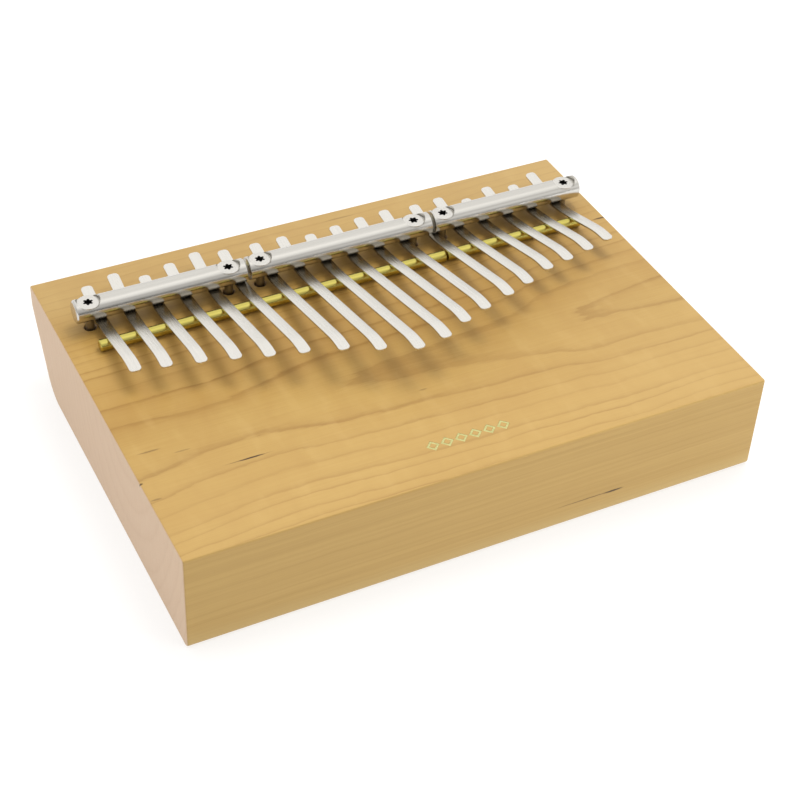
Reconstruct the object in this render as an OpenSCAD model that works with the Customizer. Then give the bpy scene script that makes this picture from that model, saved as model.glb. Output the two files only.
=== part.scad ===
// Board lamellophone: hollow hardwood body, eighteen spring-steel tines
// clamped under three round pressure bars, brass bridge rods, six screws.
// Units are millimetres. +Z up, +X to the right end, -Y towards the player.
// Origin: centre of the body's footprint, on the surface it lies on.

/* [Body] */
// Length of the body along X
body_w = 200; // [196:0.5:210]
// Depth of the body along Y at the top face
body_d = 142; // [136:0.5:150]
// Height of the body, bottom to top face
body_h = 36.5; // [32:0.5:42]
// Height of the upright part of the back face, above the undercut
back_lip = 8; // [5:0.5:12]
// Angle of the undercut back face from the vertical
back_angle = 28; // [15:1:32]
// Radius where the undercut rolls into the underside
back_round = 12; // [6:0.5:14]
// Rounding of the top edges
edge_r = 0.8; // [0.4:0.1:2]
// Rounding of the front bottom edge
foot_r = 2; // [0.5:0.1:3]

/* [Sound chamber] */
// Length of the chamber along X
chamber_w = 176; // [150:1:180]
// Depth of the chamber along Y
chamber_d = 78; // [60:1:80]
// Thickness of wood left above the chamber
top_t = 6; // [4:0.5:10]
// Thickness of the back board
board_t = 3; // [2:0.5:4]
// Width of the ledge that the back board is glued to
ledge = 5; // [3:0.5:6]
// Radius of the sound hole in the back board
sound_hole_r = 12; // [8:0.5:20]

/* [Bridge and pressure bars] */
// Radius of the steel pressure bars
bar_r = 4; // [3.8:0.05:4.2]
// Height of the bar axis above the top face
bar_z = 7.45; // [7.4:0.05:7.8]
// Y position of the bar axis
bar_y = 41.4; // [40:0.1:42]
// Radius of the brass rods
rod_r = 2; // [1.8:0.05:2.1]
// Y position of the front rod
rod_y = 28.4; // [27:0.1:29]
// Y position of the back rod
back_rod_y = 50; // [49.5:0.1:50.5]
// Chamfer at the bar ends
bar_chamfer = 0.5; // [0.2:0.1:0.8]
// Chamfer at the rod ends
rod_chamfer = 0.3; // [0.1:0.1:0.5]

/* [Tines] */
// Width of the spring-steel strip
tine_w = 4; // [3.4:0.1:4.2]
// Thickness of the strip
tine_t = 0.8; // [0.6:0.05:1]
// Corner radius of tips and tails
tine_r = 1.4; // [0.8:0.1:1.6]
// Slope of the strip in front of the bridge
rise = 0.2; // [0.12:0.01:0.24]
// Slope of the tip after its downward bend
tip_slope = -0.08; // [-0.2:0.01:0]
// Length of the bent tip
tip_bend = 9; // [8:0.5:10]
// Spacing of the tines under the left and right bars
pitch_side = 9.8; // [9.6:0.05:9.9]
// Spacing of the tines under the middle bar
pitch_mid = 9.95; // [9.8:0.05:10]
// Distance between neighbouring tines across a bar joint
pitch_joint = 11.4; // [11.2:0.1:11.6]
// Y position of each tine tip, left to right
tip_y = [5, 2.5, -0.5, -4, -8, -11.5, -16, -22, -27.5,
         -25.5, -19.5, -15, -10.5, -6.5, -1, 1.5, 4.5, 8];
// Y position of each tine tail, left to right
tail_y = [55.5, 58, 54, 56.5, 58.5, 56.5, 56, 56, 54,
          55, 56, 56.5, 55.5, 56, 52.5, 55.5, 53.5, 57];
// Turn of each tine in plan about the bar, in degrees
splay = [-0.5, -1, 0, 0.5, 0.5, 1, 1, 1, 1.5,
         2, 2.5, 2.5, 2.5, 2.5, 4.5, 4, 4.5, 5];

/* [Screws] */
// Distance of the outer screws from the middle
screw_x_outer = 88.8; // [88.5:0.1:89.5]
// Distance of the inner screws of the side bars from the middle
screw_x_side = 40.2; // [40:0.1:40.6]
// Distance of the middle bar's screws from the middle
screw_x_mid = 28.8; // [28.6:0.1:29]
// Radius of the screw head
head_r = 3.8; // [3.5:0.1:3.9]
// Height of the head's flat above the bar axis
head_z = 2.85; // [2.6:0.05:3]
// Radius of the plain shank
shank_r = 1.5; // [1.4:0.05:1.6]
// Radius of the threaded end
thread_r = 2; // [1.8:0.05:2]
// Screw length under the head's flat
screw_l = 30; // [26:1:32]

/* [Hidden] */
$fn = 64;
clr = 0.03;                       // gap between touching hard surfaces

top_z = body_h;
front_y = -body_d / 2;
back_y = body_d / 2;

// left and right ends of the three bars, of the front rods, of the back rods
bar_ends  = [[-93.8, -34.6], [-33.4, 34.6], [35.8, 94]];
rod_ends  = [[-90, -34.4], [-33.8, 34.8], [35.5, 88.4]];
brod_ends = [[-89.5, -34.4], [-33.8, 34.8], [35.5, 88.4]];
screw_x = [-screw_x_outer, -screw_x_side, -screw_x_mid,
            screw_x_mid, screw_x_side, screw_x_outer];

// tine positions along the bars: six to a bar
function tine_x(i) =
    i < 6  ? -2.5 * pitch_mid - pitch_joint - (5 - i) * pitch_side :
    i < 12 ? (i - 8.5) * pitch_mid :
             2.5 * pitch_mid + pitch_joint + (i - 12) * pitch_side;

// ---- the strip's centre line, height above the top face against y ----
s_rod = 0.19;                                     // slope over the front rod
s_back = 0.2;                                     // slope over the back rod
z_bar = bar_z - bar_r - tine_t / 2 - clr;         // under the bar
z_rod = rod_r + (rod_r + tine_t / 2 + clr) * sqrt(1 + s_rod * s_rod);
z_back = rod_r + (rod_r + tine_t / 2 + clr) * sqrt(1 + s_back * s_back);
l_front = bar_y - rod_y;
l_back = back_rod_y - bar_y;
function herm(t, h, m, l) = h * (3*t*t - 2*t*t*t) + m * l * (t*t*t - t*t);
function dherm(t, h, m, l) = h * (6*t - 6*t*t) / l + m * (3*t*t - 2*t);
function tip_part(e) = rise * e - (rise - tip_slope) * e * e / 2 / (tip_bend - 2);
// height in front of the rod; d is the distance from the rod, l the free length
function z_free(d, l) =
    d <= 2 ? z_rod + s_rod * d + (rise - s_rod) * d * d / 4 :
    d <= l - tip_bend ? z_free(2, l) + rise * (d - 2) :
    d <= l - 2 ? z_free(l - tip_bend, l) + tip_part(d - l + tip_bend) :
    z_free(l - 2, l) + tip_slope * (d - l + 2);
function ds_free(d, l) =
    d <= 2 ? s_rod + (rise - s_rod) * d / 2 :
    d <= l - tip_bend ? rise :
    d <= l - 2 ? rise - (rise - tip_slope) * (d - l + tip_bend) / (tip_bend - 2) :
    tip_slope;
function z_mid(y, l) =
    y <= rod_y ? z_free(rod_y - y, l) :
    y <= bar_y ? z_bar + herm((bar_y - y) / l_front, z_rod - z_bar, s_rod, l_front) :
    y <= back_rod_y ? z_bar + herm((y - bar_y) / l_back, z_back - z_bar, s_back, l_back) :
    z_back + s_back * (y - back_rod_y);
// slope dz/dy of the centre line
function dz_mid(y, l) =
    y <= rod_y ? -ds_free(rod_y - y, l) :
    y <= bar_y ? -dherm((bar_y - y) / l_front, z_rod - z_bar, s_rod, l_front) :
    y <= back_rod_y ? dherm((y - bar_y) / l_back, z_back - z_bar, s_back, l_back) :
    s_back;
// a point of the strip's side, off the centre line by s along the normal
function side_pt(y, l, s) =
    let (m = dz_mid(y, l), n = sqrt(1 + m * m))
    [y - s * m / n, top_z + z_mid(y, l) + s / n];

// free length, and the place where the strip's bending is gathered
function free_l(i) = rod_y - tip_y[i];
function pivot_y(i) = rod_y - 0.15 * free_l(i);
cut = 0.15;                                       // half of the split's width

// stations from y0 down to y1, no more than about 1.5 mm apart
function stations(y0, y1) =
    let (n = ceil((y0 - y1) / 1.5)) [for (k = [0:n]) y0 - (y0 - y1) * k / n];

// rounded outline in plan; r0 at the low-y end, r1 at the high-y end
module plan_outline(y0, y1, w, low, high, r) {
    union() {
        translate([-w / 2, y0 + (low ? r : 0)])
            square([w, y1 - y0 - (low ? r : 0) - (high ? r : 0)]);
        if (low) {
            translate([-w / 2 + r, y0]) square([w - 2 * r, r + 0.5]);
            for (s = [-1, 1]) translate([s * (w / 2 - r), y0 + r]) circle(r, $fn = 32);
        }
        if (high) {
            translate([-w / 2 + r, y1 - r - 0.5]) square([w - 2 * r, r + 0.5]);
            for (s = [-1, 1]) translate([s * (w / 2 - r), y1 - r]) circle(r, $fn = 32);
        }
    }
}

// a length of strip from y_hi to y_lo, rounded at one end
module strip(i, y_hi, y_lo, low, high) {
    l = free_l(i);
    ys = stations(y_hi + (high ? 0.6 : 0), y_lo - (low ? 0.6 : 0));
    pts = concat([for (y = ys) side_pt(y, l, tine_t / 2)],
                 [for (k = [len(ys) - 1:-1:0]) side_pt(ys[k], l, -tine_t / 2)]);
    translate([tine_x(i), bar_y, 0]) rotate([0, 0, splay[i]]) translate([0, -bar_y, 0])
        intersection() {
            rotate([90, 0, 90]) linear_extrude(height = tine_w, center = true)
                polygon(pts);
            translate([0, 0, top_z - 1]) linear_extrude(height = 24)
                plan_outline(low ? y_lo : y_lo - 2, high ? y_hi : y_hi + 2,
                             tine_w + 0, low, high, tine_r);
        }
}

// clamped length: tail, over the back rod, under the bar, over the front rod
module tine_shank(i) {
    color("gainsboro") strip(i, tail_y[i], pivot_y(i) + cut, false, true);
}

// playing length: from the split to the bent tip
module tine(i) {
    color("gainsboro") strip(i, pivot_y(i) - cut, tip_y[i], true, false);
}

// ---- wood ----
function arc(cy, cz, r, a0, a1, n) =
    [for (k = [0:n]) let (a = a0 + (a1 - a0) * k / n) [cy + r * cos(a), cz + r * sin(a)]];

// body section in Y and Z, drawn anticlockwise from the front bottom edge
inset_low = (body_h - back_lip - back_round * (1 - sin(back_angle))) * tan(back_angle);
round_cy = back_y - inset_low - back_round * cos(back_angle);
body_section = concat(
    arc(front_y + foot_r, foot_r, foot_r, 180, 270, 6),
    arc(round_cy, back_round, back_round, 270, 360 - back_angle, 10),
    [[back_y, body_h - back_lip]],
    arc(back_y - edge_r, body_h - edge_r, edge_r, 0, 90, 4),
    arc(front_y + edge_r, body_h - edge_r, edge_r, 90, 180, 4));

// rectangle with true round corners
module round_rect(w, d, r) {
    union() {
        square([w - 2 * r, d], center = true);
        square([w, d - 2 * r], center = true);
        for (sx = [-1, 1], sy = [-1, 1])
            translate([sx * (w / 2 - r), sy * (d / 2 - r)]) circle(r);
    }
}
chamber_y = front_y + 8 + ledge + chamber_d / 2;

// small plain ornament: a row of open lozenges, point to point
module inlay_outline(g) {
    for (k = [0:5]) translate([(k - 2.5) * 4.9, 0]) difference() {
        polygon([[-2.25 - g, 0], [0, -2.2 - g], [2.25 + g, 0], [0, 2.2 + g]]);
        polygon([[-1.3 + g, 0], [0, -1.25 + g], [1.3 - g, 0], [0, 1.25 - g]]);
    }
}
inlay_pos = [-0.5, -55.8];
inlay_t = 0.8;

module body_block() {
    color("burlywood") difference() {
        rotate([90, 0, 90]) linear_extrude(height = body_w, center = true)
            polygon(body_section);
        // sound chamber and the rebate for the back board
        translate([0, chamber_y, board_t])
            linear_extrude(height = body_h - top_t - board_t)
                round_rect(chamber_w, chamber_d, 8);
        translate([0, chamber_y, -1])
            linear_extrude(height = 1 + board_t)
                round_rect(chamber_w + 2 * ledge, chamber_d + 2 * ledge, 8 + ledge);
        // screw holes, slightly countersunk
        for (x = screw_x) translate([x, bar_y, 0]) {
            translate([0, 0, top_z + bar_z + head_z - screw_l - 1])
                cylinder(h = 60, r = thread_r + clr);
            translate([0, 0, top_z - 0.8])
                cylinder(h = 1.6, r1 = thread_r, r2 = thread_r + 1.6);
        }
        // pocket for the inlay
        translate([inlay_pos[0], inlay_pos[1], top_z - inlay_t])
            linear_extrude(height = 2) inlay_outline(clr);
    }
}

module back_board() {
    color("wheat") translate([0, chamber_y, 0]) difference() {
        linear_extrude(height = board_t - 0.02)
            round_rect(chamber_w + 2 * ledge - 0.2, chamber_d + 2 * ledge - 0.2,
                       8 + ledge - 0.1);
        translate([0, 0, -1]) cylinder(h = board_t + 2, r = sound_hole_r);
    }
}

module top_inlay() {
    color("beige") translate([inlay_pos[0], inlay_pos[1], top_z - inlay_t])
        linear_extrude(height = inlay_t) inlay_outline(0);
}

// ---- round bars and rods, lying along X ----
module round_bar(x0, x1, r, c) {
    translate([x0, 0, 0]) rotate([0, 90, 0]) rotate_extrude()
        polygon([[0, 0], [r - c, 0], [r, c], [r, x1 - x0 - c], [r - c, x1 - x0], [0, x1 - x0]]);
}

// countersunk pocket for one screw, on the bar's own axis
module screw_pocket() {
    depth = head_r - shank_r;
    translate([0, 0, -bar_r - 1]) cylinder(h = 2 * bar_r + 2, r = shank_r + 0.2);
    translate([0, 0, head_z - 0.4 - depth - clr])
        cylinder(h = depth, r1 = shank_r, r2 = head_r);
    translate([0, 0, head_z - 0.4 - clr]) cylinder(h = 4, r = head_r + 0.25);
}

module pressure_bar(k) {
    color("silver") translate([0, bar_y, top_z + bar_z]) difference() {
        round_bar(bar_ends[k][0], bar_ends[k][1], bar_r, bar_chamfer);
        for (j = [2 * k, 2 * k + 1]) translate([screw_x[j], 0, 0]) screw_pocket();
    }
}

module front_rod(k) {
    color("gold") translate([0, rod_y, top_z + rod_r])
        round_bar(rod_ends[k][0], rod_ends[k][1], rod_r, rod_chamfer);
}

module back_rod(k) {
    color("gold") translate([0, back_rod_y, top_z + rod_r])
        round_bar(brod_ends[k][0], brod_ends[k][1], rod_r, rod_chamfer);
}

// countersunk screw with a six-lobe recess
module clamp_screw(j) {
    depth = head_r - shank_r;
    color("silver") translate([screw_x[j], bar_y, top_z + bar_z + head_z])
        difference() {
            rotate_extrude() polygon([[0, 0], [head_r - 0.1, 0], [head_r, -0.1],
                [head_r, -0.4], [shank_r, -0.4 - depth],
                [shank_r, -head_z - bar_z - 2.5], [thread_r, -head_z - bar_z - 3],
                [thread_r, -screw_l + 4], [0.2, -screw_l], [0, -screw_l]]);
            translate([0, 0, -1.7]) {
                cylinder(h = 3, r = 1.15);
                for (a = [0:60:300]) rotate([0, 0, a + 12])
                    translate([1.25, 0, 0]) cylinder(h = 3, r = 0.42, $fn = 24);
            }
        }
}

body_block();
back_board();
top_inlay();
pressure_bar(0);  // pressure_bar_left
pressure_bar(1);  // pressure_bar_middle
pressure_bar(2);  // pressure_bar_right
front_rod(0);  // front_rod_left
front_rod(1);  // front_rod_middle
front_rod(2);  // front_rod_right
back_rod(0);  // back_rod_left
back_rod(1);  // back_rod_middle
back_rod(2);  // back_rod_right
clamp_screw(0);  // clamp_screw_1
clamp_screw(1);  // clamp_screw_2
clamp_screw(2);  // clamp_screw_3
clamp_screw(3);  // clamp_screw_4
clamp_screw(4);  // clamp_screw_5
clamp_screw(5);  // clamp_screw_6
tine_shank(0);  // tine_01_shank
tine_shank(1);  // tine_02_shank
tine_shank(2);  // tine_03_shank
tine_shank(3);  // tine_04_shank
tine_shank(4);  // tine_05_shank
tine_shank(5);  // tine_06_shank
tine_shank(6);  // tine_07_shank
tine_shank(7);  // tine_08_shank
tine_shank(8);  // tine_09_shank
tine_shank(9);  // tine_10_shank
tine_shank(10);  // tine_11_shank
tine_shank(11);  // tine_12_shank
tine_shank(12);  // tine_13_shank
tine_shank(13);  // tine_14_shank
tine_shank(14);  // tine_15_shank
tine_shank(15);  // tine_16_shank
tine_shank(16);  // tine_17_shank
tine_shank(17);  // tine_18_shank
tine(0);  // tine_01
tine(1);  // tine_02
tine(2);  // tine_03
tine(3);  // tine_04
tine(4);  // tine_05
tine(5);  // tine_06
tine(6);  // tine_07
tine(7);  // tine_08
tine(8);  // tine_09
tine(9);  // tine_10
tine(10);  // tine_11
tine(11);  // tine_12
tine(12);  // tine_13
tine(13);  // tine_14
tine(14);  // tine_15
tine(15);  // tine_16
tine(16);  // tine_17
tine(17);  // tine_18
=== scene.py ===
import bpy
import bmesh
import math
from mathutils import Vector, Matrix


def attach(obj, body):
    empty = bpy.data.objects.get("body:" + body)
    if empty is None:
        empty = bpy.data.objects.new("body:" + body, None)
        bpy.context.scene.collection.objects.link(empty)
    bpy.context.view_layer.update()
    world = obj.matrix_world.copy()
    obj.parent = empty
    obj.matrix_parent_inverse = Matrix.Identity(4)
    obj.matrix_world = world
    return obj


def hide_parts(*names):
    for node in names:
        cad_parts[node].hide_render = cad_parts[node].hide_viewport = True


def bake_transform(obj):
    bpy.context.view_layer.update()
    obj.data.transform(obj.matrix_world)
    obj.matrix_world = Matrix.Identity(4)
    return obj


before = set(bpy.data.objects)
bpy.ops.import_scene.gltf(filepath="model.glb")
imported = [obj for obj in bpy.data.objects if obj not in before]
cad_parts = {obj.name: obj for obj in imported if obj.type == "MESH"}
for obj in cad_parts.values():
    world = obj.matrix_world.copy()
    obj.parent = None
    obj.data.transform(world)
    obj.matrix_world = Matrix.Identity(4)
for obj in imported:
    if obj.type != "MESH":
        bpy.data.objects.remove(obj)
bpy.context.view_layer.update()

COL = bpy.context.scene.collection

# ------------------------------------------------------------------ sizes, mm
W, D, H = 200.0, 142.0, 36.5
BAR_R, BAR_Z, BAR_Y = 4.0, 7.45, 41.4
ROD_R, ROD_Y, BROD_Y = 2.0, 28.4, 50.0
BAR_ENDS = [(-93.8, -34.6), (-33.4, 34.6), (35.8, 94.0)]
ROD_ENDS = [(-90.0, -34.4), (-33.8, 34.8), (35.5, 88.4)]
BROD_ENDS = [(-89.5, -34.4), (-33.8, 34.8), (35.5, 88.4)]
SCREW_X = [-88.8, -40.2, -28.8, 28.8, 40.2, 88.8]
HEAD_R, HEAD_Z, SHANK_R, THREAD_R, SCREW_L = 3.8, 2.85, 1.5, 2.0, 30.0
TINE_W, TINE_T, TINE_R = 4.0, 0.8, 1.4
RISE, TIP_SLOPE, TIP_BEND = 0.2, -0.08, 9.0
TIP_Y = [5, 2.5, -0.5, -4, -8, -11.5, -16, -22, -27.5,
         -25.5, -19.5, -15, -10.5, -6.5, -1, 1.5, 4.5, 8]
TAIL_Y = [55.5, 58, 54, 56.5, 58.5, 56.5, 56, 56, 54,
          55, 56, 56.5, 55.5, 56, 52.5, 55.5, 53.5, 57]
SPLAY = [-0.5, -1, 0, 0.5, 0.5, 1, 1, 1, 1.5,
         2, 2.5, 2.5, 2.5, 2.5, 4.5, 4, 4.5, 5]
SIDES = ["left", "middle", "right"]


# ------------------------------------------------------------------ mesh help
def make(name, verts, faces, mat, sharp=35.0, uvs=None):
    """A mesh object from millimetre vertices; edges above the angle stay sharp."""
    me = bpy.data.meshes.new(name)
    me.from_pydata([(x * 0.001, y * 0.001, z * 0.001) for x, y, z in verts], [], faces)
    if uvs is not None:
        layer = me.uv_layers.new(name="UVMap")
        for li, vi in enumerate([l.vertex_index for l in me.loops]):
            layer.data[li].uv = uvs[vi]
    bm = bmesh.new()
    bm.from_mesh(me)
    bmesh.ops.recalc_face_normals(bm, faces=bm.faces)
    bm.to_mesh(me)
    bm.free()
    me.shade_smooth()
    me.set_sharp_from_angle(angle=math.radians(sharp))
    me.materials.append(mat)
    ob = bpy.data.objects.new(name, me)
    COL.objects.link(ob)
    return ob


def rings_mesh(rings, cap0=True, cap1=True):
    """Closed rings of equal count joined into a tube, ends closed with one face each."""
    n = len(rings[0])
    verts = [p for r in rings for p in r]
    faces = []
    for k in range(len(rings) - 1):
        for i in range(n):
            j = (i + 1) % n
            faces.append((k * n + i, k * n + j, (k + 1) * n + j, (k + 1) * n + i))
    if cap0:
        faces.append(tuple(range(n - 1, -1, -1)))
    if cap1:
        faces.append(tuple((len(rings) - 1) * n + i for i in range(n)))
    return verts, faces


def fillet(pts, radii, seg=4):
    """Polyline with its inner corners rounded by the given radii."""
    out = [pts[0]]
    for k in range(1, len(pts) - 1):
        r = radii[k] if k < len(radii) else 0
        p, a, b = Vector(pts[k]), Vector(pts[k - 1]), Vector(pts[k + 1])
        if r <= 0:
            out.append(tuple(p))
            continue
        u, v = (a - p).normalized(), (b - p).normalized()
        ang = u.angle(v)
        t = min(r / math.tan(ang / 2), (a - p).length * 0.45, (b - p).length * 0.45)
        r2 = t * math.tan(ang / 2)
        c = p + (u + v).normalized() * (r2 / math.sin(ang / 2))
        s, e = p + u * t - c, p + v * t - c
        for i in range(seg + 1):
            w = s.slerp(e, i / seg) * s.length if s.length > 1e-9 else s
            out.append(tuple(c + w))
    out.append(pts[-1])
    return out


def apply_boolean(ob, cutters, sharp=35.0):
    for c in cutters:
        m = ob.modifiers.new("cut", "BOOLEAN")
        m.operation, m.solver, m.object = "DIFFERENCE", "EXACT", c
    dg = bpy.context.evaluated_depsgraph_get()
    dg.update()
    me = bpy.data.meshes.new_from_object(ob.evaluated_get(dg))
    ob.modifiers.clear()
    old = ob.data
    ob.data = me
    me.name = ob.name
    bpy.data.meshes.remove(old)
    for c in cutters:
        m = c.data
        bpy.data.objects.remove(c)
        bpy.data.meshes.remove(m)
    bm = bmesh.new()
    bm.from_mesh(me)
    bmesh.ops.remove_doubles(bm, verts=bm.verts, dist=2e-6)
    bmesh.ops.dissolve_degenerate(bm, edges=bm.edges, dist=2e-6)
    bm.to_mesh(me)
    bm.free()
    me.shade_smooth()
    me.set_sharp_from_angle(angle=math.radians(sharp))


def cyl_z(name, x, y, prof, n=64):
    """Solid of revolution about a vertical axis; prof is (r, z) from bottom to top."""
    rings = [[(x + r * math.cos(2 * math.pi * i / n), y + r * math.sin(2 * math.pi * i / n), z)
              for i in range(n)] for r, z in prof]
    v, f = rings_mesh(rings)
    return make(name, v, f, MAT["steel"])


# ------------------------------------------------------------------ node help
class Tree:
    def __init__(self, name):
        self.mat = bpy.data.materials.new(name)
        self.mat.use_nodes = True
        self.nt = self.mat.node_tree
        self.nt.nodes.clear()
        self.out = self.add("ShaderNodeOutputMaterial")
        self.bsdf = self.add("ShaderNodeBsdfPrincipled")
        self.link(self.bsdf.outputs[0], self.out.inputs[0])

    def add(self, kind, **props):
        n = self.nt.nodes.new(kind)
        for k, v in props.items():
            setattr(n, k, v)
        return n

    def link(self, a, b):
        self.nt.links.new(a, b)

    def put(self, sock, v):
        if isinstance(v, bpy.types.NodeSocket):
            self.link(v, sock)
        else:
            sock.default_value = v

    def math(self, op, a, b=None, c=None, clamp=False):
        n = self.add("ShaderNodeMath", operation=op, use_clamp=clamp)
        self.put(n.inputs[0], a)
        if b is not None:
            self.put(n.inputs[1], b)
        if c is not None:
            self.put(n.inputs[2], c)
        return n.outputs[0]

    def vmul(self, v, xyz):
        n = self.add("ShaderNodeVectorMath", operation="MULTIPLY")
        self.put(n.inputs[0], v)
        n.inputs[1].default_value = xyz
        return n.outputs[0]

    def vadd(self, v, w):
        n = self.add("ShaderNodeVectorMath", operation="ADD")
        self.put(n.inputs[0], v)
        self.put(n.inputs[1], w)
        return n.outputs[0]

    def noise(self, v, scale=1.0, detail=2.0, rough=0.5, dist=0.0, color=False):
        n = self.add("ShaderNodeTexNoise")
        self.link(v, n.inputs["Vector"])
        n.inputs["Scale"].default_value = scale
        n.inputs["Detail"].default_value = detail
        n.inputs["Roughness"].default_value = rough
        n.inputs["Distortion"].default_value = dist
        return n.outputs["Color"] if color else n.outputs[0]

    def range(self, v, a, b, c=0.0, d=1.0, smooth=False):
        n = self.add("ShaderNodeMapRange")
        n.interpolation_type = "SMOOTHSTEP" if smooth else "LINEAR"
        self.put(n.inputs[0], v)
        for k, x in enumerate((a, b, c, d)):
            n.inputs[k + 1].default_value = x
        return n.outputs[0]

    def curve(self, v, pts):
        n = self.add("ShaderNodeFloatCurve")
        self.put(n.inputs[1], v)
        cv = n.mapping.curves[0]
        cv.points[0].location = pts[0]
        cv.points[1].location = pts[-1]
        for p in pts[1:-1]:
            cv.points.new(*p)
        for p in cv.points:
            p.handle_type = "AUTO_CLAMPED"
        n.mapping.use_clip = False
        n.mapping.update()
        return n.outputs[0]

    def ramp(self, v, stops, mode="LINEAR"):
        n = self.add("ShaderNodeValToRGB")
        n.color_ramp.interpolation = mode
        els = n.color_ramp.elements
        els[0].position, els[0].color = stops[0][0], (*stops[0][1], 1)
        els[1].position, els[1].color = stops[-1][0], (*stops[-1][1], 1)
        for p, c in stops[1:-1]:
            e = els.new(p)
            e.color = (*c, 1)
        self.link(v, n.inputs[0])
        return n.outputs[0]

    def mix(self, fac, a, b, blend="MIX"):
        n = self.add("ShaderNodeMix", data_type="RGBA", blend_type=blend)
        self.put(n.inputs[0], fac)
        for s, v in ((n.inputs[6], a), (n.inputs[7], b)):
            if isinstance(v, tuple):
                v = (*v, 1) if len(v) == 3 else v
            self.put(s, v)
        return n.outputs[2]

    def bump(self, h, strength, dist):
        n = self.add("ShaderNodeBump")
        n.inputs["Strength"].default_value = strength
        n.inputs["Distance"].default_value = dist
        self.link(h, n.inputs["Height"])
        self.link(n.outputs[0], self.bsdf.inputs["Normal"])
        return n

    def object_mm(self):
        tc = self.add("ShaderNodeTexCoord")
        return self.vmul(tc.outputs["Object"], (1000, 1000, 1000))

    def sep(self, v):
        n = self.add("ShaderNodeSeparateXYZ")
        self.link(v, n.inputs[0])
        return n.outputs[0], n.outputs[1], n.outputs[2]

    def xyz(self, x, y, z):
        n = self.add("ShaderNodeCombineXYZ")
        for k, v in enumerate((x, y, z)):
            self.put(n.inputs[k], v)
        return n.outputs[0]


# ------------------------------------------------------------------ cherry
LIGHT = (0.473, 0.300, 0.087)
MID = (0.426, 0.258, 0.068)
DARK = (0.224, 0.104, 0.022)


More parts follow.
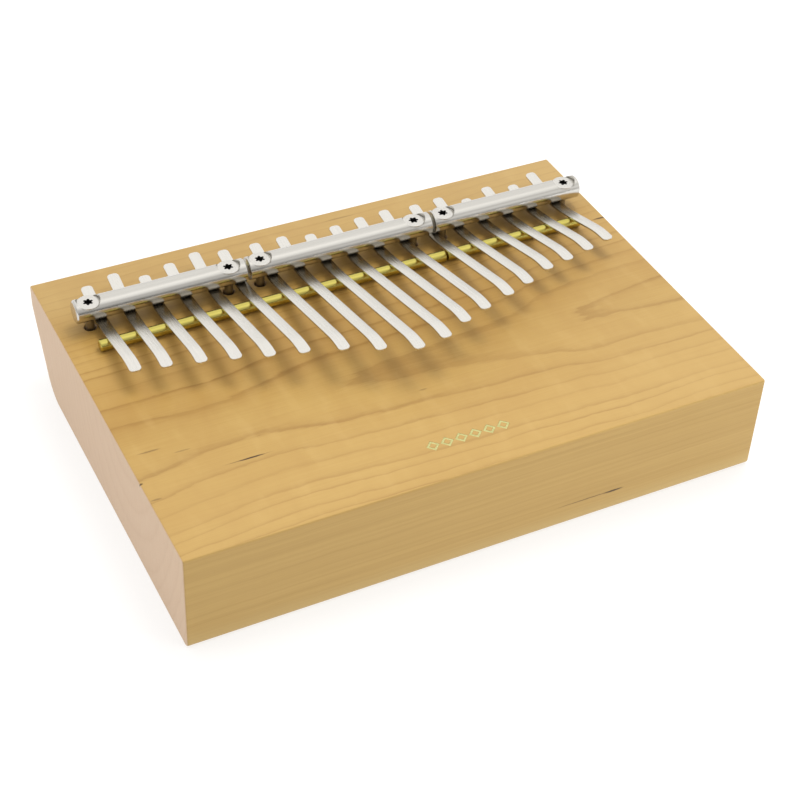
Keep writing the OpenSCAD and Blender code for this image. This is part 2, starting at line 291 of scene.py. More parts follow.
def cherry(name, streaks=True, tone=1.0):
    t = Tree(name)
    P = t.object_mm()
    x, y, z = t.sep(P)

    # slow wander of the grain, long along X
    wob = t.noise(t.vmul(P, (0.012, 0.035, 0.035)), 1.0, 2.0, 0.5)
    wob2 = t.noise(t.vmul(P, (0.06, 0.09, 0.09)), 1.0, 3.0, 0.6)
    wander = t.math("ADD", t.math("MULTIPLY", t.math("SUBTRACT", wob, 0.5), 5.0),
                    t.math("MULTIPLY", t.math("SUBTRACT", wob2, 0.5), 2.2))
    u = t.range(x, -100, 100)
    depth = t.math("MULTIPLY", t.curve(u, [(0, .418), (.18, .454), (.357, .385), (.585, .345),
                                           (.715, .296), (.785, .18), (.855, .132), (1, .056)]), 50.0)
    centre = t.math("MULTIPLY", t.curve(u, [(0, .44), (.18, .394), (.43, .378),
                                            (.715, .372), (.855, .344), (1, .34)]), -50.0)
    dy = t.math("SUBTRACT", t.math("ADD", y, wander), centre)
    down = t.math("MULTIPLY", t.math("SUBTRACT", H, z), 0.55)
    dz = t.math("ADD", depth, t.math("MAXIMUM", down, 0.0))
    R = t.math("SQRT", t.math("ADD", t.math("MULTIPLY", dy, dy), t.math("MULTIPLY", dz, dz)))

    # growth rings: radius to ring number
    ring_r = [0, 7.9, 18.7, 24.9, 30.7, 36.1, 43.2, 46.6, 51.4, 54.8, 58.4, 61.2,
              65.0, 68.3, 72.0, 75.2, 79.0, 83.0, 87.0, 91.0, 96.0, 100.0]
    n_r = t.add("ShaderNodeFloatCurve")
    cv = n_r.mapping.curves[0]
    cv.points[0].location = (0, 0)
    cv.points[1].location = (1, 21 / 22)
    for k, r in enumerate(ring_r[1:-1]):
        cv.points.new(r / 100, (k + 1) / 22)
    for p in cv.points:
        p.handle_type = "VECTOR"
    n_r.mapping.update()
    t.link(t.math("MULTIPLY", R, 0.01), n_r.inputs[1])
    phase = t.math("MULTIPLY", n_r.outputs[0], 22.0)
    fine_w = t.noise(t.vmul(P, (0.09, 0.45, 0.45)), 1.0, 3.0, 0.6)
    phase = t.math("ADD", phase, t.math("MULTIPLY", t.math("SUBTRACT", fine_w, 0.5), 0.26))
    frac = t.math("FRACT", phase)
    # slow darkening towards the latewood, a narrow line, a quick end
    line = t.ramp(frac, [(0.0, (0.78,) * 3), (0.035, (0.30,) * 3), (0.09, (0.04,) * 3), (0.40, (0.0,) * 3),
                         (0.70, (0.10,) * 3), (0.86, (0.34,) * 3), (0.94, (0.86,) * 3), (1.0, (1.0,) * 3)])
    ring_id = t.math("FLOOR", phase)
    wn = t.add("ShaderNodeTexWhiteNoise", noise_dimensions="1D")
    t.link(ring_id, wn.inputs["W"])
    ring_gain = t.range(wn.outputs[0], 0, 1, 0.55, 1.0)
    along = t.range(t.noise(t.vmul(P, (0.02, 0.12, 0.12)), 1.0, 2.0, 0.5), 0.3, 0.72, 0.5, 1.0)
    line_f = t.math("MULTIPLY", t.math("MULTIPLY", line, ring_gain), along)
    line_f = t.math("MULTIPLY", line_f, t.range(y, 8.0, 40.0, 1.0, 0.45))

    # weights by face: end grain on the two ends, straight ribs on front and back
    geo = t.add("ShaderNodeNewGeometry")
    nx, ny, nz = t.sep(geo.outputs["True Normal"])
    w_end = t.range(t.math("ABSOLUTE", nx), 0.55, 0.8, smooth=True)
    w_side = t.range(t.math("ABSOLUTE", ny), 0.55, 0.8, smooth=True)
    keep = t.math("SUBTRACT", 1.0, t.math("MULTIPLY", w_side, 0.82))
    keep = t.math("MULTIPLY", keep, t.math("SUBTRACT", 1.0, t.math("MULTIPLY", w_end, 0.80)))
    line_f = t.math("MULTIPLY", line_f, keep)

    base = t.mix(t.range(t.noise(t.vmul(P, (0.010, 0.03, 0.03)), 1.0, 3.0, 0.5), 0.35, 0.65), LIGHT, MID)
    # broad figure, slightly darker outside a ring
    base = t.mix(t.math("MULTIPLY", line_f, 0.88), base, DARK)
    # fine fibre streaks
    fib = t.noise(t.vmul(P, (0.05, 2.2, 2.2)), 1.0, 3.0, 0.6)
    base = t.mix(t.range(fib, 0.42, 0.75, 0.0, 0.20), base, (0.318, 0.174, 0.043))
    fib2 = t.noise(t.vmul(P, (0.02, 0.9, 0.9)), 1.0, 2.0, 0.5)
    base = t.mix(t.range(fib2, 0.35, 0.65, 0.12, 0.0), base, (0.513, 0.345, 0.112))
    # mottled pools across the grain
    pool = t.noise(t.vmul(P, (0.06, 0.05, 0.05)), 1.0, 3.0, 0.6)
    base = t.mix(t.range(pool, 0.45, 0.75, 0.0, 0.24), base, (0.372, 0.200, 0.048))
    # quilted shimmer: soft cross-grain bands, each a few mm wide
    quilt = t.noise(t.vmul(P, (0.15, 0.055, 0.055)), 1.0, 2.0, 0.5)
    base = t.mix(t.range(quilt, 0.52, 0.78, 0.0, 0.22), base, (0.345, 0.185, 0.046))
    base = t.mix(t.range(quilt, 0.24, 0.46, 0.22, 0.0), base, (0.585, 0.400, 0.150))
    # painted shade: warmer and darker where the tines and the bar cast their shadows on the top
    painted_tine_shade = t.math("MULTIPLY", t.range(y, -22.0, 6.0, 0.0, 1.0, True), t.range(y, 30.0, 44.0, 1.0, 0.0, True))
    base = t.mix(t.math("MULTIPLY", painted_tine_shade, 0.14), base, (0.430, 0.215, 0.040))
    # cooler and paler along the far edge and to the right
    base = t.mix(t.range(y, 34.0, 58.0, 0.0, 0.30, True), base, (0.500, 0.362, 0.175))
    base = t.mix(t.range(x, 15.0, 85.0, 0.0, 0.16, True), base, (0.480, 0.350, 0.170))
    # paler and warmer toward the player's edge
    base = t.mix(t.range(y, -5.0, -62.0, 0.0, 0.34, True), base, (0.620, 0.418, 0.165))

    # straight ribs on front and back
    zr = t.math("ADD", z, t.math("MULTIPLY", t.math("SUBTRACT", wob2, 0.5), 1.2))
    ribs = t.noise(t.xyz(t.math("MULTIPLY", x, 0.006), t.math("MULTIPLY", zr, 0.75), 0.0), 1.0, 4.0, 0.65)
    side_c = t.mix(t.range(ribs, 0.35, 0.68), (0.440, 0.288, 0.094), (0.372, 0.232, 0.070))
    flecks = t.noise(t.vmul(P, (0.35, 3.2, 3.2)), 1.0, 2.0, 0.5)
    side_c = t.mix(t.range(flecks, 0.60, 0.80, 0.0, 0.35), side_c, (0.36, 0.215, 0.075))
    # painted light: the front and back faces paler towards the bottom, where the bright floor bounces light up onto
    # them
    side_c = t.mix(t.range(z, 8.0, 0.0, 0.0, 0.55, True), side_c, (0.530, 0.395, 0.175))
    # painted shade: the front and back faces darker towards the left end
    side_c = t.mix(t.range(x, 20.0, -100.0, 0.0, 0.30), side_c, (0.345, 0.222, 0.068))
    base = t.mix(t.math("MULTIPLY", w_side, 0.85), base, side_c)

    # end grain: paler and pinker, faint arcs and pores
    pores = t.noise(t.vmul(P, (1.0, 2.6, 2.6)), 1.0, 2.0, 0.6)
    arcs = t.ramp(frac, [(0.0, (0.45,) * 3), (0.2, (0.0,) * 3), (0.8, (0.25,) * 3), (1.0, (0.75,) * 3)])
    end_c = t.mix(t.math("MULTIPLY", arcs, 0.35), (0.600, 0.420, 0.270), (0.500, 0.325, 0.198))
    end_c = t.mix(t.range(pores, 0.55, 0.72, 0.0, 0.30), end_c, (0.47, 0.30, 0.185))
    rays = t.noise(t.vmul(P, (0.2, 1.1, 0.09)), 1.0, 2.0, 0.5)
    end_c = t.mix(t.range(rays, 0.45, 0.7, 0.0, 0.25), end_c, (0.655, 0.485, 0.335))
    base = t.mix(w_end, base, end_c)

    # dark gum streaks
    if streaks:
        marks = [(-65.4, -38.3, 36.5, 5.8, 0.42, 0.012, 0.95), (-66.5, -38.25, 36.5, 9.5, 0.25, 0.0, 0.45),
                 (-92.5, -23.4, 36.5, 4.3, 0.45, 0.0, 0.42), (-83.2, -27.0, 36.5, 3.2, 0.4, -0.02, 0.30),
                 (-97.8, -44.0, 36.5, 2.2, 0.45, 0.0, 0.38), (-3.4, -30.7, 36.5, 1.8, 0.4, 0.0, 0.30),
                 (99.0, 29.2, 36.5, 4.5, 0.5, 0.0, 0.85), (-99.6, -36.0, 36.5, 0.8, 0.5, 0.0, 0.85),
                 (46.0, -71.0, 8.4, 4.6, 0.50, 0.0, 0.90), (37.0, -71.0, 8.5, 14.0, 0.30, 0.0, 0.55),
                 (-72.0, 12.0, 36.5, 6.0, 0.5, 0.01, 0.16), (12.0, 66.0, 36.5, 7.0, 0.4, 0.0, 0.25)]
        rag = t.math("MULTIPLY", t.math("SUBTRACT", t.noise(t.vmul(P, (0.5, 2.0, 2.0)), 1.0, 3.0, 0.7), 0.5), 0.5)
        total = None
        for cx, cy, cz, a, b, sl, s in marks:
            ex = t.math("DIVIDE", t.math("SUBTRACT", x, cx), a)
            ey = t.math("DIVIDE", t.math("SUBTRACT", t.math("ADD", y, rag), cy), b if cz > 30 else 2.0)
            ez = t.math("DIVIDE", t.math("SUBTRACT", t.math("ADD", z, rag), cz), 1.5 if cz > 30 else b)
            q = t.math("ADD", t.math("ADD", t.math("MULTIPLY", ex, ex), t.math("MULTIPLY", ey, ey)),
                       t.math("MULTIPLY", ez, ez))
            m = t.range(q, 1.0, 0.15, 0.0, s, smooth=True)
            total = m if total is None else t.math("MAXIMUM", total, m)
        base = t.mix(total, base, (0.045, 0.022, 0.012))
    if tone != 1.0:
        base = t.mix(1.0, base, (tone, tone, tone), "MULTIPLY")
    t.link(base, t.bsdf.inputs["Base Color"])
    rough = t.range(t.math("ADD", fib, line_f), 0.3, 1.1, 0.42, 0.56)
    t.link(rough, t.bsdf.inputs["Roughness"])
    t.bsdf.inputs["Specular IOR Level"].default_value = 0.35
    h = t.math("ADD", t.math("MULTIPLY", fib, 0.6), t.math("MULTIPLY", flecks, 0.4))
    t.bump(h, 0.18, 0.0001)
    return t.mat


def steel(name, color, rough, brush="x", scratch=0.5, uv=False, tint=None):
    """Drawn or ground steel: fine lines one way, cloudy roughness, a few scratches."""
    t = Tree(name)
    if uv:
        tc = t.add("ShaderNodeTexCoord")
        P = t.vmul(tc.outputs["UV"], (1000, 1000, 1000))
        fine = t.vmul(P, (0.12, 9.0, 1.0))
        coarse = t.vmul(P, (0.03, 1.2, 1.0))
    else:
        P = t.object_mm()
        s = {"x": (0.10, 7.0, 7.0), "round": (3.5, 3.5, 3.5)}[brush]
        fine = t.vmul(P, s)
        coarse = t.vmul(P, tuple(0.12 * k for k in s))
    lines = t.noise(fine, 1.0, 2.0, 0.5)
    cloud = t.noise(coarse, 1.0, 2.0, 0.5)
    blot = t.noise(t.vmul(P, (0.10, 0.10, 0.10)), 1.0, 2.0, 0.5)
    dark = tuple(c * 0.96 for c in color)
    col = t.mix(t.range(cloud, 0.35, 0.7), color, dark)
    if tint:
        col = t.mix(t.range(blot, 0.5, 0.8, 0.0, 0.35), col, tint)
    col = t.mix(t.range(lines, 0.55, 0.8, 0.0, 0.06), col, tuple(c * 0.84 for c in color))
    if uv:
        # painted shade and reflection: the strip darkened where it runs under the bar, standing in for the bar's
        # shadow and its dark underside mirrored in the strip
        y = t.sep(t.object_mm())[1]
        painted_bar_shade = t.math("MULTIPLY", t.range(y, 26.0, 31.5, 0.0, 1.0, True), t.range(y, 44.5, 47.5, 1.0, 0.0, True))
        painted_bar_shade = t.math("MULTIPLY", painted_bar_shade, t.range(cloud, 0.3, 0.7, 0.62, 0.69))
        col = t.mix(painted_bar_shade, col, tuple(c * k for c, k in zip(color, (0.22, 0.18, 0.12))))
    t.link(col, t.bsdf.inputs["Base Color"])
    t.bsdf.inputs["Metallic"].default_value = 1.0
    r = t.math("ADD", t.range(lines, 0.3, 0.7, rough - 0.02, rough + 0.03), t.range(blot, 0.35, 0.7, -0.01, 0.02))
    t.link(r, t.bsdf.inputs["Roughness"])
    t.bump(lines, scratch, 0.00002)
    return t.mat


MAT = {}
MAT["wood"] = cherry("cherry_wood")
MAT["steel"] = steel("bar_steel", (0.64, 0.625, 0.59), 0.20, "x", 0.10)
MAT["tine"] = steel("tine_steel", (0.77, 0.755, 0.715), 0.25, "x", 0.04, uv=True)
MAT["screw"] = steel("screw_steel", (0.72, 0.705, 0.67), 0.26, "round", 0.08)
# painted shade: darkened steel for the screw shanks, standing in for the shade under the bar
MAT["thread"] = steel("painted_shade_screw_shank", (0.40, 0.375, 0.32), 0.34, "round", 0.15)
# painted shade: near-black steel inside the six-lobe recess stands in for the shade in its depth
MAT["recess"] = steel("painted_shade_recess", (0.045, 0.043, 0.04), 0.55, "round", 0.3)
MAT["brass"] = steel("rod_brass", (0.61, 0.53, 0.135), 0.22, "x", 0.06, tint=(0.52, 0.43, 0.09))


def board_mat():
    """Back board: paler veneer with plain long grain."""
    t = Tree("back_board_wood")
    P = t.object_mm()
    fib = t.noise(t.vmul(P, (0.03, 0.9, 0.9)), 1.0, 4.0, 0.6)
    fig = t.noise(t.vmul(P, (0.008, 0.10, 0.10)), 1.0, 3.0, 0.5, 0.6)
    wav = t.math("FRACT", t.math("MULTIPLY", fig, 14.0))
    line = t.ramp(wav, [(0, (0.5,) * 3), (0.15, (0,) * 3), (0.75, (0.15,) * 3), (1, (0.9,) * 3)])
    c = t.mix(t.math("MULTIPLY", line, 0.4), (0.74, 0.53, 0.26), (0.50, 0.30, 0.12))
    c = t.mix(t.range(fib, 0.4, 0.7, 0.0, 0.3), c, (0.52, 0.32, 0.13))
    t.link(c, t.bsdf.inputs["Base Color"])
    t.link(t.range(fib, 0.3, 0.7, 0.48, 0.6), t.bsdf.inputs["Roughness"])
    t.bump(fib, 0.15, 0.0001)
    return t.mat


def inlay_mat():
    t = Tree("inlay_cream")
    P = t.object_mm()
    n = t.noise(t.vmul(P, (1.4, 1.4, 1.4)), 1.0, 3.0, 0.6)
    c = t.mix(t.range(n, 0.35, 0.7), (0.60, 0.57, 0.25), (0.46, 0.45, 0.17))
    t.link(c, t.bsdf.inputs["Base Color"])
    t.bsdf.inputs["Metallic"].default_value = 0.35
    t.link(t.range(n, 0.3, 0.7, 0.30, 0.42), t.bsdf.inputs["Roughness"])
    t.bump(n, 0.2, 0.00005)
    return t.mat


MAT["board"] = board_mat()
MAT["inlay"] = inlay_mat()


# ------------------------------------------------------------------ the body
def arc(cy, cz, r, a0, a1, n):
    return [(cy + r * math.cos(math.radians(a0 + (a1 - a0) * k / n)),
             cz + r * math.sin(math.radians(a0 + (a1 - a0) * k / n))) for k in range(n + 1)]


def offset(poly, d):
    """Closed anticlockwise outline moved inwards by d."""
    n, out = len(poly), []
    for i in range(n):
        a, p, b = Vector(poly[i - 1]), Vector(poly[i]), Vector(poly[(i + 1) % n])
        u, v = (p - a).normalized(), (b - p).normalized()
        nu, nv = Vector((-u.y, u.x)), Vector((-v.y, v.x))
        m = (nu + nv).normalized()
        out.append(tuple(p + m * (d / max(0.2, m.dot(nu)))))
    return out


def round_outline(w, d, r, n=10):
    pts = []
    for sx, sy, a0 in ((1, 1, 0), (-1, 1, 90), (-1, -1, 180), (1, -1, 270)):
        for k in range(n + 1):
            a = math.radians(a0 + 90 * k / n)
            pts.append((sx * (w / 2 - r) + r * math.cos(a), sy * (d / 2 - r) + r * math.sin(a)))
    return pts


def prism(name, outline, z0, z1, cx=0.0, cy=0.0):
    rings = [[(cx + x, cy + y, z) for x, y in outline] for z in (z0, z1)]
    v, f = rings_mesh(rings)
    return make(name, v, f, MAT["wood"])


edge_r, foot_r, roll, lip, ang = 0.8, 2.0, 12.0, 8.0, 28.0
inset_low = (H - lip - roll * (1 - math.sin(math.radians(ang)))) * math.tan(math.radians(ang))
round_cy = D / 2 - inset_low - roll * math.cos(math.radians(ang))
section = (arc(-D / 2 + foot_r, foot_r, foot_r, 180, 270, 10)
           + arc(round_cy, roll, roll, 270, 360 - ang, 24)
           + [(D / 2 - 0.25, H - lip - 0.47), (D / 2 - 0.06, H - lip - 0.13), (D / 2, H - lip + 0.4)]
           + arc(D / 2 - edge_r, H - edge_r, edge_r, 0, 90, 6)
           + arc(-D / 2 + edge_r, H - edge_r, edge_r, 90, 180, 6))
end_r = 0.55
rings = [[(-W / 2 + end_r * (1 - math.cos(math.radians(90 * k / 5))), y, z)
          for y, z in offset(section, end_r * (1 - math.sin(math.radians(90 * k / 5))))] for k in range(6)]
rings += [[(-x, y, z) for x, y, z in r] for r in reversed(rings)]
v, f = rings_mesh(rings)
body = make("body_shell", v, f, MAT["wood"], 5.0)

chamber_y = -D / 2 + 8 + 5 + 39
cut = [prism("cut_chamber", round_outline(176, 78, 8), 3.0, 30.5, 0, chamber_y),
       prism("cut_rebate", round_outline(186, 88, 13), -1.0, 3.0, 0, chamber_y)]
for sx in SCREW_X:
    cut.append(cyl_z("cut_hole", sx, BAR_Y, [(2.03, H + BAR_Z + HEAD_Z - SCREW_L - 1), (2.03, H - 0.25),
                                            (2.25, H + 0.03), (2.25, H + 1)], 48))
for k in range(6):
    cx, cy = -0.5 + (k - 2.5) * 4.9, -55.8
    g = 0.05
    outer = [(-2.25 - g, 0), (0, -2.2 - g), (2.25 + g, 0), (0, 2.2 + g)]
    inner = [(-1.3 + g, 0), (0, -1.25 + g), (1.3 - g, 0), (0, 1.25 - g)]
    vv = [(cx + a, cy + b, z) for z in (H - 0.75, H + 1) for o in (outer, inner) for a, b in o]
    ff = []
    for i in range(4):
        j = (i + 1) % 4
        ff += [(i, j, 8 + j, 8 + i), (4 + j, 4 + i, 12 + i, 12 + j),
               (i, 4 + i, 4 + j, j), (8 + i, 8 + j, 12 + j, 12 + i)]
    cut.append(make("cut_inlay", vv, ff, MAT["wood"]))
apply_boolean(body, cut, 6.0)
body.name = "body_shell"
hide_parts("body_block")
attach(body, "body")

# back board, edges eased, with its sound hole
outl = round_outline(185.8, 87.8, 12.9, 23)


def board_ring(e, z):
    o = offset(outl, e)
    return [(x, chamber_y + y, z) for x, y in o]


bv, bf = rings_mesh([board_ring(0.35, 0.0), board_ring(0.1, 0.1), board_ring(0, 0.35), board_ring(0, 2.98)])
board = make("back_board_panel", bv, bf, MAT["board"])
apply_boolean(board, [cyl_z("cut_sound", 0, chamber_y, [(12.6, -1), (12.5, 0.02), (12.15, 0.14), (12.0, 0.5),
                                                      (12.0, 4)], 96)], 15.0)
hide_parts("back_board")
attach(board, "body")

# ornament: six open lozenges, faces very slightly crowned
iv, iff = [], []
for k in range(6):
    cx, cy = -0.5 + (k - 2.5) * 4.9, -55.8
    lv = []
    for e, z in ((0.0, H - 0.7), (0.0, H - 0.04), (0.1, H + 0.0), (0.28, H + 0.012)):
        lv.append([(-2.25 + e * 1.4, 0, z), (0, -2.2 + e * 1.4, z), (2.25 - e * 1.4, 0, z), (0, 2.2 - e * 1.4, z)])
    for e, z in ((0.28, H + 0.012), (0.1, H + 0.0), (0.0, H - 0.04), (0.0, H - 0.7)):
        lv.append([(-1.3 - e * 1.4, 0, z), (0, -1.25 - e * 1.4, z), (1.3 + e * 1.4, 0, z), (0, 1.25 + e * 1.4, z)])
    b0 = len(iv)
    iv += [(cx + a, cy + b, c) for lp in lv for a, b, c in lp]
    m = len(lv)
    for q in range(m):
        q2 = (q + 1) % m
        for i in range(4):
            j = (i + 1) % 4
            iff.append((b0 + q * 4 + i, b0 + q * 4 + j, b0 + q2 * 4 + j, b0 + q2 * 4 + i))
inlay = make("ornament_inlay", iv, iff, MAT["inlay"], 30)
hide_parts("top_inlay")
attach(inlay, "body")


# ------------------------------------------------------------------ bars, rods
def turned_bar(name, x0, x1, r, c, cy, cz, mat, n=96, e=0.12, c2=None):
    c2 = c if c2 is None else c2
    prof = [(x0, 0.001), (x0, r * 0.5), (x0, r - c), (x0 + c, r), (x1 - c2, r), (x1, r - c2), (x1, r * 0.5),
            (x1, 0.001)]
    prof = fillet(prof, [0, 0, e, e, e, e, 0, 0], 3)
    mid = [p for p in prof if p[0] < (x0 + x1) / 2]
    rest = [p for p in prof if p[0] >= (x0 + x1) / 2]
    steps = int((x1 - x0) // 6)
    xs = [x0 + (x1 - x0) * k / steps for k in range(1, steps)]
    full = mid + [(q, r) for q in xs] + rest
    rings = [[(px, cy + pr * math.cos(2 * math.pi * i / n), cz + pr * math.sin(2 * math.pi * i / n))
              for i in range(n)] for px, pr in full]
    v, f = rings_mesh(rings)
    return make(name, v, f, mat)


cone = HEAD_R - SHANK_R
for k, side in enumerate(SIDES):
    x0, x1 = BAR_ENDS[k]
    bar = turned_bar("bar_" + side, x0, x1, BAR_R, [0.5, 0.15, 0.15][k], BAR_Y, H + BAR_Z, MAT["steel"],
                     e=[0.12, 0.05, 0.05][k], c2=[0.15, 0.15, 0.5][k])
    cz = H + BAR_Z
    cutters = []
    for sx in SCREW_X[2 * k:2 * k + 2]:
        cutters.append(cyl_z("cut_pocket", sx, BAR_Y, [
            (1.7, cz - 6), (1.7, cz + HEAD_Z - 0.4 - cone + 0.17), (HEAD_R - 0.03, cz + HEAD_Z - 0.45),
            (HEAD_R + 0.17, cz + HEAD_Z - 0.43), (HEAD_R + 0.25, cz + HEAD_Z - 0.35), (HEAD_R + 0.25, cz + 6)], 96))
    apply_boolean(bar, cutters)
    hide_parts("pressure_bar_" + side)
    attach(bar, "body")
    for pre, yy, ends in (("front_rod_", ROD_Y, ROD_ENDS), ("back_rod_", BROD_Y, BROD_ENDS)):
        rod = turned_bar(pre + side + "_brass", ends[k][0], ends[k][1], ROD_R, 0.3, yy, H + ROD_R,
                         MAT["brass"], 64, 0.08)
        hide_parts(pre + side)
        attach(rod, "body")


# ------------------------------------------------------------------ screws
def lobe(a):
    """Radius of the six-lobe recess at angle a."""
    d = (a - math.radians(12)) % (math.pi / 3)
    d = min(d, math.pi / 3 - d)
    s = 1.25 * math.sin(d)
    r = 1.15
    if s < 0.42:
        r = max(r, 1.25 * math.cos(d) + math.sqrt(0.42 ** 2 - s * s))
    return r


LOBE = [lobe(2 * math.pi * i / 144) for i in range(144)]
LOBE = [sum(LOBE[(i + j) % 144] for j in (-1, 0, 1)) / 3 for i in range(144)]
for j, sx in enumerate(SCREW_X):
    zt = H + BAR_Z + HEAD_Z
    n = 144
    turn = [0, 9, -14, 5, 21, -8][j] * 2
    rings = []

    def ring(fr, z):
        rings.append([(sx + fr(i) * math.cos(2 * math.pi * i / n), BAR_Y + fr(i) * math.sin(2 * math.pi * i / n), z)
                      for i in range(n)])

    lb = [LOBE[(i + turn) % n] for i in range(n)]
    ring(lambda i: 0.02, zt - 1.85)
    ring(lambda i: 0.75, zt - 1.62)
    ring(lambda i: lb[i] * 0.98, zt - 1.55)
    ring(lambda i: lb[i], zt - 0.14)
    ring(lambda i: lb[i] + 0.04, zt - 0.05)
    ring(lambda i: lb[i] + 0.13, zt - 0.005)
    ring(lambda i: 1.0 * lb[i] + 0.3, zt)
    ring(lambda i: 2.35, zt)
    ring(lambda i: 3.25, zt - 0.005)
    ring(lambda i: 3.52, zt - 0.03)
    ring(lambda i: 3.70, zt - 0.10)
    ring(lambda i: 3.79, zt - 0.22)
    ring(lambda i: 3.80, zt - 0.36)
    ring(lambda i: 3.74, zt - 0.48)
    ring(lambda i: 1.56, zt - 0.4 - 2.24)
    ring(lambda i: 1.50, zt - 0.4 - 2.36)
    ring(lambda i: 1.50, zt - HEAD_Z - BAR_Z - 2.5)
    ring(lambda i: 2.00, zt - HEAD_Z - BAR_Z - 3.0)
    ring(lambda i: 2.00, zt - SCREW_L + 4)
    ring(lambda i: 0.2, zt - SCREW_L)
    v, f = rings_mesh(rings)
    screw = make(f"screw_{j + 1}", v, f, MAT["screw"], 38)
    screw.data.materials.append(MAT["recess"])
    screw.data.materials.append(MAT["thread"])
    for p in screw.data.polygons:
        c = p.center
        # painted shade: faces inside the recess get the near-black material
        if c.z * 1000 < zt - 0.06 and c.z * 1000 > zt - 2.0 and math.hypot(c.x * 1000 - sx, c.y * 1000 - BAR_Y) < 1.72:
            p.material_index = 1
        # painted shade: the shank below the bar gets the darkened steel
        elif c.z * 1000 < zt - 3.2:
            p.material_index = 2
    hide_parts(f"clamp_screw_{j + 1}")
    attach(screw, "body")


# ------------------------------------------------------------------ tines
S_ROD, S_BACK = 0.19, 0.2
Z_BAR = BAR_Z - BAR_R - TINE_T / 2 - 0.03
Z_RODC = ROD_R + (ROD_R + TINE_T / 2 + 0.03) * math.sqrt(1 + S_ROD ** 2)
Z_BACK = ROD_R + (ROD_R + TINE_T / 2 + 0.03) * math.sqrt(1 + S_BACK ** 2)
L_F, L_B = BAR_Y - ROD_Y, BROD_Y - BAR_Y


def herm(t, h, m, l):
    return h * (3 * t * t - 2 * t ** 3) + m * l * (t ** 3 - t * t)


def dherm(t, h, m, l):
    return h * (6 * t - 6 * t * t) / l + m * (3 * t * t - 2 * t)


def tip_part(e):
    return RISE * e - (RISE - TIP_SLOPE) * e * e / 2 / (TIP_BEND - 2)


def z_free(d, l):
    if d <= 2:
        return Z_RODC + S_ROD * d + (RISE - S_ROD) * d * d / 4
    if d <= l - TIP_BEND:
        return z_free(2, l) + RISE * (d - 2)
    if d <= l - 2:
        return z_free(l - TIP_BEND, l) + tip_part(d - l + TIP_BEND)
    return z_free(l - 2, l) + TIP_SLOPE * (d - l + 2)


def ds_free(d, l):
    if d <= 2:
        return S_ROD + (RISE - S_ROD) * d / 2
    if d <= l - TIP_BEND:
        return RISE
    if d <= l - 2:
        return RISE - (RISE - TIP_SLOPE) * (d - l + TIP_BEND) / (TIP_BEND - 2)
    return TIP_SLOPE


def z_mid(y, l):
    if y <= ROD_Y:
        return z_free(ROD_Y - y, l)
    if y <= BAR_Y:
        return Z_BAR + herm((BAR_Y - y) / L_F, Z_RODC - Z_BAR, S_ROD, L_F)
    if y <= BROD_Y:
        return Z_BAR + herm((y - BAR_Y) / L_B, Z_BACK - Z_BAR, S_BACK, L_B)
    return Z_BACK + S_BACK * (y - BROD_Y)


def dz_mid(y, l):
    if y <= ROD_Y:
        return -ds_free(ROD_Y - y, l)
    if y <= BAR_Y:
        return -dherm((BAR_Y - y) / L_F, Z_RODC - Z_BAR, S_ROD, L_F)
    if y <= BROD_Y:
        return dherm((y - BAR_Y) / L_B, Z_BACK - Z_BAR, S_BACK, L_B)
    return S_BACK


def tine_x(i):
    if i < 6:
        return -2.5 * 9.95 - 11.4 - (5 - i) * 9.8
    if i < 12:
        return (i - 8.5) * 9.95
    return 2.5 * 9.95 + 11.4 + (i - 12) * 9.8


def strip(i):
    """One whole strip: stacked outlines, rounded edges, rounded tip and tail."""
    y0, y1, l = TIP_Y[i], TAIL_Y[i], ROD_Y - TIP_Y[i]
    hw, r, e = TINE_W / 2, TINE_R, 0.17
    n_arc = 10
    steps = int((y1 - y0 - 2 * r) / 0.8)
    ys = [y0 + r + (y1 - y0 - 2 * r) * k / steps for k in range(1, steps)]

    def half(inset):
        # right-hand side from tip to tail as (u, v)
        pts = []
        for k in range(n_arc + 1):
            a = math.radians(-90 + 90 * k / n_arc)
            pts.append((hw - r + (r - inset) * math.cos(a), y0 + r + (r - inset) * math.sin(a)))
        pts += [(hw - inset, q) for q in ys]
        for k in range(n_arc + 1):
            a = math.radians(90 * k / n_arc)
            pts.append((hw - r + (r - inset) * math.cos(a), y1 - r + (r - inset) * math.sin(a)))
        return pts

    levels = []
    for k in range(4):
        a = math.radians(90 * k / 3)
        levels.append((e * (1 - math.sin(a)), TINE_T / 2 - e * (1 - math.cos(a))))
    levels += [(ins, -h) for ins, h in reversed(levels)]
    cs, sn = math.cos(math.radians(SPLAY[i])), math.sin(math.radians(SPLAY[i]))
    cx = tine_x(i)
    m_side = len(half(0))
    verts, uvs, faces = [], [], []
    for ins, h in levels:
        pts = half(ins)
        loop = pts + [(-a, b) for a, b in reversed(pts)]
        for a, b in loop:
            m = dz_mid(b, l)
            q = math.sqrt(1 + m * m)
            yy, zz = b - h * m / q, H + z_mid(b, l) + h / q
            dx, dy = a, yy - BAR_Y
            verts.append((cx + dx * cs - dy * sn, BAR_Y + dx * sn + dy * cs, zz))
            uvs.append(((b + 100) * 0.001 + 0.13 * i, (a + 10 + h) * 0.001))
    M = 2 * m_side
    for k in range(len(levels) - 1):
        for q in range(M):
            q2 = (q + 1) % M
            faces.append((k * M + q, k * M + q2, (k + 1) * M + q2, (k + 1) * M + q))
    for k, flip in ((0, False), (len(levels) - 1, True)):
        for q in range(m_side - 1):
            a, b = k * M + q, k * M + q + 1
            c, d = k * M + (M - 2 - q), k * M + (M - 1 - q)
            faces.append((a, b, c, d) if not flip else (d, c, b, a))
    return verts, faces, uvs


for i in range(18):
    v, f, uv = strip(i)
    name = f"tine_{i + 1:02d}"
    ob = make(name + "_strip", v, f, MAT["tine"], 42, uv)
    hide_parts(name + "_shank", name)
    free = ROD_Y - TIP_Y[i]
    py = ROD_Y - 0.15 * free
    zc = H + z_mid(py, free)

    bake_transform(ob)

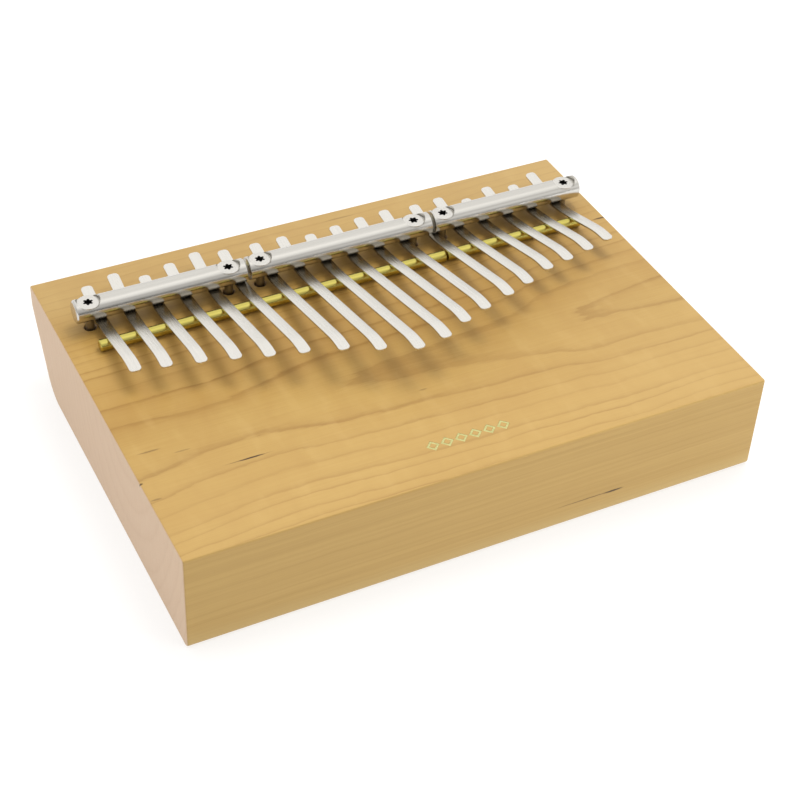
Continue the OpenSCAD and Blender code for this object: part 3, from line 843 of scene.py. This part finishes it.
# ------------------------------------------------------------------ stage
me = bpy.data.meshes.new("floor")
s = 6.0
me.from_pydata([(-s, -s, 0), (s, -s, 0), (s, s, 0), (-s, s, 0)], [], [(0, 1, 2, 3)])
floor = bpy.data.objects.new("floor", me)
COL.objects.link(floor)
t = Tree("floor_white")
tc = t.add("ShaderNodeTexCoord")
nz = t.noise(t.vmul(tc.outputs["Object"], (3, 3, 3)), 1.0, 2.0, 0.5)
t.link(t.mix(t.range(nz, 0.3, 0.7), (0.36, 0.36, 0.36), (0.35, 0.35, 0.35)), t.bsdf.inputs["Base Color"])
t.bsdf.inputs["Emission Color"].default_value = (1, 1, 1, 1)
t.bsdf.inputs["Emission Strength"].default_value = 0.68
t.bsdf.inputs["Roughness"].default_value = 0.75
t.bsdf.inputs["Specular IOR Level"].default_value = 0.2
me.materials.append(t.mat)

# world: bright above and behind, quieter in front
world = bpy.data.worlds.new("studio")
bpy.context.scene.world = world
world.use_nodes = True
nt = world.node_tree
nt.nodes.clear()
wo = nt.nodes.new("ShaderNodeOutputWorld")
bg = nt.nodes.new("ShaderNodeBackground")
tcw = nt.nodes.new("ShaderNodeTexCoord")
sp = nt.nodes.new("ShaderNodeSeparateXYZ")
nt.links.new(tcw.outputs["Generated"], sp.inputs[0])


def toward(axis, *steps):
    """Sum of ramps of how far the sky direction leans along an axis."""
    d = nt.nodes.new("ShaderNodeVectorMath")
    d.operation = "DOT_PRODUCT"
    nt.links.new(tcw.outputs["Generated"], d.inputs[0])
    d.inputs[1].default_value = axis
    total = None
    for lo, hi, amount, kind in steps:
        m = nt.nodes.new("ShaderNodeMapRange")
        m.interpolation_type = kind
        nt.links.new(d.outputs["Value"], m.inputs[0])
        for j, x in enumerate((lo, hi, 0.0, amount)):
            m.inputs[j + 1].default_value = x
        if total is None:
            total = m.outputs[0]
        else:
            s2 = nt.nodes.new("ShaderNodeMath")
            nt.links.new(total, s2.inputs[0])
            nt.links.new(m.outputs[0], s2.inputs[1])
            total = s2.outputs[0]
    return total


parts = [
    toward((0, 0.45, 0.89), (-0.38, 0.0, 0.58, "LINEAR"), (0.15, 0.85, 0.45, "SMOOTHSTEP")),
    toward((0.33, -0.30, 0.895), (0.89, 0.985, 0.27, "SMOOTHSTEP")),
    toward((0.68, -0.70, 0.22), (0.87, 0.98, 0.45, "SMOOTHSTEP")),
]
total = parts[0]
for extra in parts[1:]:
    ad = nt.nodes.new("ShaderNodeMath")
    nt.links.new(total, ad.inputs[0])
    nt.links.new(extra, ad.inputs[1])
    total = ad.outputs[0]
base = nt.nodes.new("ShaderNodeMath")
nt.links.new(total, base.inputs[0])
base.inputs[1].default_value = 0.08
nt.links.new(base.outputs[0], bg.inputs[1])
bg.inputs[0].default_value = (1.0, 0.985, 0.96, 1)
nt.links.new(bg.outputs[0], wo.inputs[0])


def area(name, loc, target, sx, sy, power, color=(1, 1, 1)):
    li = bpy.data.lights.new(name, "AREA")
    li.shape = "RECTANGLE"
    li.size, li.size_y, li.energy, li.color = sx, sy, power, color
    ob = bpy.data.objects.new(name, li)
    ob.location = loc
    ob.rotation_euler = (Vector(target) - Vector(loc)).to_track_quat("-Z", "Y").to_euler()
    COL.objects.link(ob)
    return ob


key = area("key", (0.23, 0.16, 0.96), (0, 0.0, 0.03), 0.46, 0.40, 4.1, (1.0, 0.975, 0.93))
fr = area("fill_right", (0.50, -0.66, 0.11), (0.06, -0.07, 0.015), 0.3, 0.18, 2.8)
fl = area("fill_left", (-0.95, 0.15, 0.45), (0, 0, 0.02), 0.7, 0.6, 0.5)
for ob in (key, fr, fl):
    ob.visible_glossy = False

# ------------------------------------------------------------------ camera
cam = bpy.data.cameras.new("camera")
cam.lens, cam.sensor_width, cam.sensor_fit = 80.74, 36.0, "AUTO"
cam.clip_start, cam.clip_end = 0.01, 50
co = bpy.data.objects.new("camera", cam)
R = [(0.8959602697998179, -0.4425386730216368, 0.037612734817961124),
     (-0.2609893922233047, -0.5931303753716324, -0.7616304188767782),
     (0.3593601704239738, 0.6725740707845906, -0.6469191504516598)]
m = Matrix.Identity(4)
for r in range(3):
    m[r][0], m[r][1], m[r][2] = R[0][r], -R[1][r], -R[2][r]
m.translation = Vector((-0.21490, -0.41133, 0.40100))
co.matrix_world = m
COL.objects.link(co)
bpy.context.scene.camera = co

vs = bpy.context.scene.view_settings
vs.view_transform = "Standard"
vs.look = "None"
vs.exposure = 0.0
vs.gamma = 1.0

bpy.context.view_layer.update()
